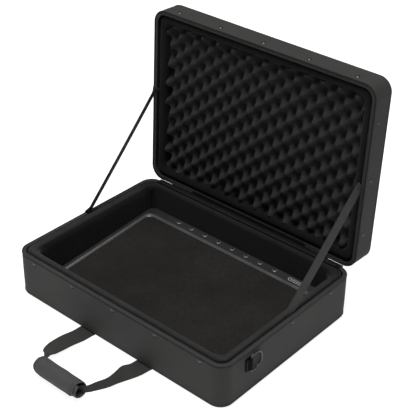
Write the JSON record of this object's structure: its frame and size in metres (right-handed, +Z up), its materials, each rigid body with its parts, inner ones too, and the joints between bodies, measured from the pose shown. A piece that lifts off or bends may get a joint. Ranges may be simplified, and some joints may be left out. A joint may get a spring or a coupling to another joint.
{
  "type": "soft-sided carry case with lift-out pedalboard",
  "caption": "Zip-closed soft carry case, open, with a convoluted foam lid, lid stay straps, a webbing handle with padded grip and a sloped powered pedalboard that lifts out.",
  "frame": {"origin": "middle of the case's underside", "axes": "+X along the front, towards the right-hand D-ring; +Y towards the lid hinge; +Z up out of the open base"},
  "size_m": [0.5486, 0.6185, 0.4839],
  "materials": {
    "shell_nylon": "woven ballistic nylon, matt with a slight sheen",
    "binding_tape": "ribbed nylon binding",
    "plush_lining": "brushed loop lining, matt",
    "convoluted_foam": "open-cell foam, matt",
    "webbing": "woven webbing",
    "grip_wrap": "padded nylon wrap",
    "wall_board": "extruded sheet",
    "zip_coil": "moulded coil",
    "blackened_metal": "black plated, satin",
    "nickel": "nickel plated",
    "tray_plastic": "fine moulded grain, soft sheen",
    "hook_loop_carpet": "loop carpet, matt",
    "socket_plastic": "moulded",
    "circuit_laminate": "laminate",
    "foot_rubber": "moulded",
    "badge_metal": "brushed, blank"
  },
  "bodies": {
    "base": {"base_cover": "shell_nylon", "base_wall_board": "wall_board", "base_floor_board": "wall_board", "base_wall_foam": "plush_lining", "base_floor_pad": "plush_lining", "base_top_binding": "binding_tape", "base_bottom_piping": "binding_tape", "base_zip_tape": "binding_tape", "base_zip_coil": "zip_coil", "base_rivets": "blackened_metal", "base_handle_anchors": "webbing", "hinge_tape": "binding_tape", "stay_strap_left": "webbing", "stay_strap_right": "webbing", "d_ring_tabs": "webbing"},
    "lid_handle": {"lid_handle_strap": "webbing"},
    "base_handle": {"base_handle_strap": "webbing", "base_handle_grip": "grip_wrap"},
    "left_d_ring": {"d_ring_left": "nickel"},
    "right_d_ring": {"d_ring_right": "nickel"},
    "left_slider": {"zip_slider_left": "blackened_metal"},
    "right_slider": {"zip_slider_right": "blackened_metal"},
    "left_pull": {"zip_pull_left": "blackened_metal"},
    "right_pull": {"zip_pull_right": "blackened_metal"},
    "pedalboard": {"board_tray": "tray_plastic", "board_carpet": "hook_loop_carpet", "board_bottom_plate": "wall_board", "board_screws": "blackened_metal", "board_feet": "foot_rubber", "jack_bushes": "nickel", "jack_housings": "socket_plastic", "jack_pins": "nickel", "board_circuit": "circuit_laminate", "power_inlet": "socket_plastic", "badge_plate": "badge_metal"},
    "lid": {"lid_cover": "shell_nylon", "lid_wall_board": "wall_board", "lid_top_board": "wall_board", "lid_wall_foam": "plush_lining", "lid_convoluted_foam": "convoluted_foam", "lid_rim_binding": "binding_tape", "lid_edge_piping": "binding_tape", "lid_zip_tape": "binding_tape", "lid_zip_coil": "zip_coil", "lid_rivets": "blackened_metal", "lid_handle_anchors": "webbing"}
  },
  "joints": [
    {"name": "lid_hinge", "type": "hinge", "parent": "base", "child": "lid", "pos_m": [0, 0.1939, 0.0966], "axis": [1, 0, 0], "range_deg": [0, 92], "deforming": ["hinge_tape", "stay_strap_left", "stay_strap_right"]},
    {"name": "lid_handle_swing", "type": "hinge", "parent": "lid", "child": "lid_handle", "pos_m": [0, 0.26729, 0.47317], "axis": [1, 0, 0], "range_deg": [0, 150]},
    {"name": "base_handle_swing", "type": "hinge", "parent": "base", "child": "base_handle", "pos_m": [0, -0.1943, 0.0015], "axis": [-1, 0, 0], "range_deg": [0, 60]},
    {"name": "left_d_ring_swing", "type": "hinge", "parent": "base", "child": "left_d_ring", "pos_m": [-0.2707, -0.12, 0.0685], "axis": [0, 0, 1], "range_deg": [0, 120]},
    {"name": "right_d_ring_swing", "type": "hinge", "parent": "base", "child": "right_d_ring", "pos_m": [0.2707, -0.12, 0.0685], "axis": [0, 0, -1], "range_deg": [0, 120]},
    {"name": "left_slider_run", "type": "hinge", "parent": "base", "child": "left_slider", "pos_m": [-0.239, 0.164, 0.097], "axis": [0, 0, 1], "range_deg": [0, 90]},
    {"name": "right_slider_run", "type": "hinge", "parent": "base", "child": "right_slider", "pos_m": [0.239, 0.164, 0.097], "axis": [0, 0, -1], "range_deg": [0, 90]},
    {"name": "left_pull_swing", "type": "hinge", "parent": "left_slider", "child": "left_pull", "pos_m": [-0.236, 0.1956, 0.087], "axis": [1, 0, 0], "range_deg": [0, 90]},
    {"name": "right_pull_swing", "type": "hinge", "parent": "right_slider", "child": "right_pull", "pos_m": [0.236, 0.1956, 0.087], "axis": [1, 0, 0], "range_deg": [0, 90]},
    {"name": "pedalboard_lift", "type": "slide", "parent": "base", "child": "pedalboard", "axis": [0, 0, -1], "range_m": [-0.12, 0]}
  ]
}
